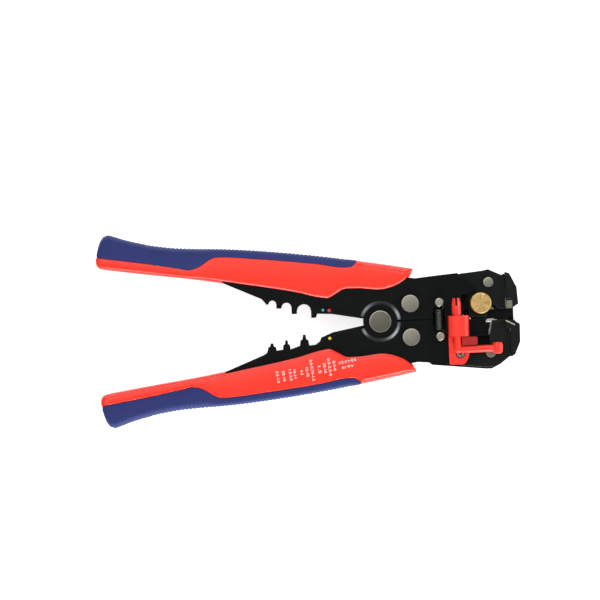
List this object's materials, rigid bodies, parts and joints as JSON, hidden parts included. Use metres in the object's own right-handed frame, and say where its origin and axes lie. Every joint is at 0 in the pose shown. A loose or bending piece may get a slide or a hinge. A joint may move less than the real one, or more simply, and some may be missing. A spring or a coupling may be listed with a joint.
{
  "type": "automatic wire stripper",
  "caption": "Self-adjusting wire stripper: two gripped levers, sprung head with gripping jaws and pull-back blades, crimp notches, wire cutter and a red length stop.",
  "frame": {"origin": "on the main pivot's axis, at the plane the tool rests on (the rear head of the main rivet)", "axes": "+X towards the jaw tip, +Y towards the handle that carries the upper jaw, +Z out of the front face, which faces the viewer in the picture"},
  "size_m": [0.2044, 0.0938, 0.0243],
  "materials": {
    "black_steel": "blackened steel, satin",
    "nickel_steel": "nickel-plated rivets, turned face",
    "bright_steel": "ground tool steel",
    "red_plastic": "moulded, soft satin",
    "dark_red_plastic": "moulded, satin",
    "blue_rubber": "soft moulded grip, ribbed",
    "brass": "knurled and faced"
  },
  "bodies": {
    "lower_lever": {"lower_front_plate": "black_steel", "lower_rear_plate": "black_steel", "lower_grip": "red_plastic", "lower_grip_insert": "blue_rubber", "lower_jaw_rivet": "nickel_steel", "lower_spring_pin": "nickel_steel", "main_rivet": "nickel_steel", "front_washer": "nickel_steel", "rear_washer": "nickel_steel", "return_spring": "black_steel", "stop_bracket": "red_plastic", "stop_screw": "nickel_steel"},
    "upper_lever": {"upper_front_plate": "black_steel", "upper_rear_plate": "black_steel", "upper_grip": "red_plastic", "upper_grip_insert": "blue_rubber", "upper_jaw_rivet": "nickel_steel", "upper_spring_pin": "nickel_steel"},
    "upper_jaw": {"upper_jaw_front_plate": "black_steel", "upper_jaw_rear_plate": "black_steel", "upper_jaw_tip": "black_steel", "upper_grip_pad": "bright_steel", "upper_tip_rivet": "nickel_steel", "upper_jaw_bushing": "bright_steel"},
    "lower_jaw": {"lower_jaw_front_plate": "black_steel", "lower_jaw_rear_plate": "black_steel", "lower_jaw_tip": "black_steel", "lower_grip_pad": "bright_steel", "lower_tip_rivet": "nickel_steel", "lower_jaw_bushing": "bright_steel", "jaw_link_pin": "nickel_steel"},
    "knob": {"adjusting_knob": "brass"},
    "guide": {"centre_guide": "bright_steel"},
    "carriage": {"blade_carriage": "black_steel", "carriage_pin": "nickel_steel"},
    "upper_blade_arm": {"upper_blade_holder": "black_steel", "upper_blade": "bright_steel"},
    "lower_blade_arm": {"lower_blade_holder": "black_steel", "lower_blade": "bright_steel"},
    "arm": {"stop_arm": "red_plastic"},
    "fence": {"stop_fence": "dark_red_plastic"}
  },
  "joints": [
    {"name": "handle_squeeze", "type": "hinge", "parent": "lower_lever", "child": "upper_lever", "pos_m": [0, 0, 0.009], "axis": [0, 0, 1], "range_deg": [0, 21], "stiffness_Nm_per_rad": 1.1, "springref_deg": -11.46, "deforming": ["return_spring"]},
    {"name": "guide_turn", "type": "hinge", "parent": "lower_lever", "child": "guide", "pos_m": [0, 0, 0.009], "axis": [0, 0, 1], "range_deg": [0, 10.5]},
    {"name": "upper_jaw_hinge", "type": "hinge", "parent": "upper_lever", "child": "upper_jaw", "pos_m": [0.0148, 0.00815, 0.009], "axis": [0, 0, -1], "range_deg": [0, 16.31]},
    {"name": "lower_jaw_hinge", "type": "hinge", "parent": "lower_lever", "child": "lower_jaw", "pos_m": [0.0148, -0.00815, 0.009], "axis": [0, 0, 1], "range_deg": [0, 16.31]},
    {"name": "carriage_slide", "type": "slide", "parent": "guide", "child": "carriage", "axis": [-1, 0, 0], "range_m": [0, 0.01]},
    {"name": "upper_blade_close", "type": "hinge", "parent": "carriage", "child": "upper_blade_arm", "pos_m": [0.0355, 0, 0.009], "axis": [0, 0, -1], "range_deg": [0, 6]},
    {"name": "lower_blade_close", "type": "hinge", "parent": "carriage", "child": "lower_blade_arm", "pos_m": [0.0355, 0, 0.009], "axis": [0, 0, 1], "range_deg": [0, 6]},
    {"name": "knob_turn", "type": "hinge", "parent": "upper_jaw", "child": "knob", "pos_m": [0.049, 0.00715, 0.0138], "axis": [0, 0, 1], "range_deg": [-180, 180]},
    {"name": "stop_arm_swing", "type": "hinge", "parent": "lower_lever", "child": "arm", "pos_m": [0.0369, -0.015, 0.021], "axis": [0, -1, 0], "range_deg": [0, 90]},
    {"name": "stop_fence_slide", "type": "slide", "parent": "lower_lever", "child": "fence", "axis": [1, 0, 0], "range_m": [0, 0.005]}
  ],
  "couplings": [
    {"joint": "guide_turn", "follows": "handle_squeeze", "ratio": 0.5},
    {"joint": "upper_jaw_hinge", "follows": "handle_squeeze", "ratio": 0.7766},
    {"joint": "lower_jaw_hinge", "follows": "handle_squeeze", "ratio": 0.7766},
    {"joint": "carriage_slide", "follows": "handle_squeeze", "m_per_rad": 0.02728},
    {"joint": "upper_blade_close", "follows": "handle_squeeze", "ratio": 0.2857},
    {"joint": "lower_blade_close", "follows": "handle_squeeze", "ratio": 0.2857}
  ]
}
